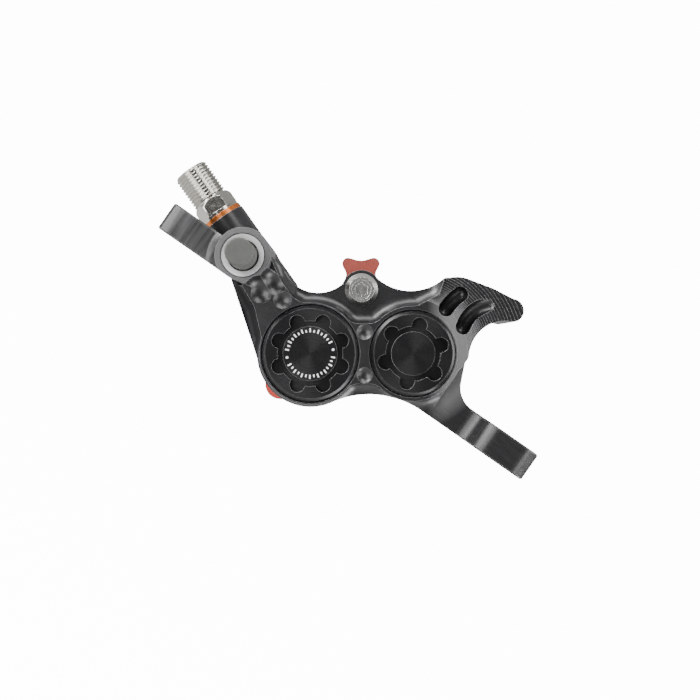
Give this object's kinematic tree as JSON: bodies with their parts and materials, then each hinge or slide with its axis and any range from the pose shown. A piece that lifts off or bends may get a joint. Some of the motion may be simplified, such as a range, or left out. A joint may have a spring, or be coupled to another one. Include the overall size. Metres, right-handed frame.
{
  "type": "bicycle disc brake caliper",
  "caption": "Post mount hydraulic disc brake caliper for a bicycle, with screwed bore caps, pads on a pin, hose union, bleed nipple and a red transport spacer.",
  "frame": {"origin": "centre of the hose-side bolt slot on the seat plane", "axes": "+X along the mount line to the other slot, +Y inboard towards the wheel, +Z away from the posts"},
  "size_m": [0.0976, 0.0528, 0.0473],
  "materials": {
    "anodised_body": "satin black anodised, milled faces lighter",
    "cap_metal": "satin black anodised",
    "steel_union": "bright nickel plated",
    "pin_steel": "turned steel",
    "nipple_steel": "plated steel",
    "copper": "plain copper",
    "rubber_cap": "matt dark grey-green",
    "red_plastic": "moulded red",
    "red_paint": "red painted steel",
    "friction": "sintered lining",
    "spring_steel": "thin sheet",
    "piston_ceramic": "smooth phenolic",
    "seal_rubber": "black"
  },
  "bodies": {
    "caliper": {"caliper_body": "anodised_body", "large_bore_cap": "cap_metal", "small_bore_cap": "cap_metal", "large_cap_o_ring": "seal_rubber", "small_cap_o_ring": "seal_rubber", "pad_spring": "spring_steel", "pad_pin": "pin_steel", "pin_clip": "spring_steel", "hose_connector": "steel_union", "copper_washer": "copper", "gallery_plug": "nipple_steel", "outboard_large_seal": "seal_rubber", "outboard_small_seal": "seal_rubber", "inboard_large_seal": "seal_rubber", "inboard_small_seal": "seal_rubber"},
    "spacer": {"transport_spacer": "red_plastic"},
    "nipple": {"bleed_nipple": "nipple_steel"},
    "dust_cap": {"bleed_cap": "rubber_cap"},
    "outboard_large_piston_body": {"outboard_large_piston": "piston_ceramic"},
    "outboard_small_piston_body": {"outboard_small_piston": "piston_ceramic"},
    "outboard_pad": {"outboard_pad_backing": "red_paint", "outboard_pad_friction": "friction"},
    "inboard_large_piston_body": {"inboard_large_piston": "piston_ceramic"},
    "inboard_small_piston_body": {"inboard_small_piston": "piston_ceramic"},
    "inboard_pad": {"inboard_pad_backing": "red_paint", "inboard_pad_friction": "friction"}
  },
  "joints": [
    {"name": "outboard_large_piston_slide", "type": "slide", "parent": "caliper", "child": "outboard_large_piston_body", "axis": [0, 1, 0], "range_m": [0, 0.0003]},
    {"name": "outboard_small_piston_slide", "type": "slide", "parent": "caliper", "child": "outboard_small_piston_body", "axis": [0, 1, 0], "range_m": [0, 0.0003]},
    {"name": "outboard_pad_slide", "type": "slide", "parent": "caliper", "child": "outboard_pad", "axis": [0, 1, 0], "range_m": [0, 0.0003]},
    {"name": "inboard_large_piston_slide", "type": "slide", "parent": "caliper", "child": "inboard_large_piston_body", "axis": [0, -1, 0], "range_m": [0, 0.0003]},
    {"name": "inboard_small_piston_slide", "type": "slide", "parent": "caliper", "child": "inboard_small_piston_body", "axis": [0, -1, 0], "range_m": [0, 0.0003]},
    {"name": "inboard_pad_slide", "type": "slide", "parent": "caliper", "child": "inboard_pad", "axis": [0, -1, 0], "range_m": [0, 0.0003]},
    {"name": "spacer_pull", "type": "slide", "parent": "caliper", "child": "spacer", "axis": [-0.5707, 0, 0.8211], "range_m": [0, 0.04]},
    {"name": "bleed_nipple_turn", "type": "hinge", "parent": "caliper", "child": "nipple", "pos_m": [0.0091, 0, 0.00535], "axis": [0, -1, 0], "range_deg": [0, 180]},
    {"name": "dust_cap_pull", "type": "slide", "parent": "nipple", "child": "dust_cap", "axis": [0, -1, 0], "range_m": [0, 0.012]}
  ],
  "couplings": [
    {"joint": "outboard_small_piston_slide", "follows": "outboard_large_piston_slide", "ratio": 1},
    {"joint": "outboard_pad_slide", "follows": "outboard_large_piston_slide", "ratio": 1},
    {"joint": "inboard_large_piston_slide", "follows": "outboard_large_piston_slide", "ratio": 1},
    {"joint": "inboard_small_piston_slide", "follows": "outboard_large_piston_slide", "ratio": 1},
    {"joint": "inboard_pad_slide", "follows": "outboard_large_piston_slide", "ratio": 1}
  ]
}
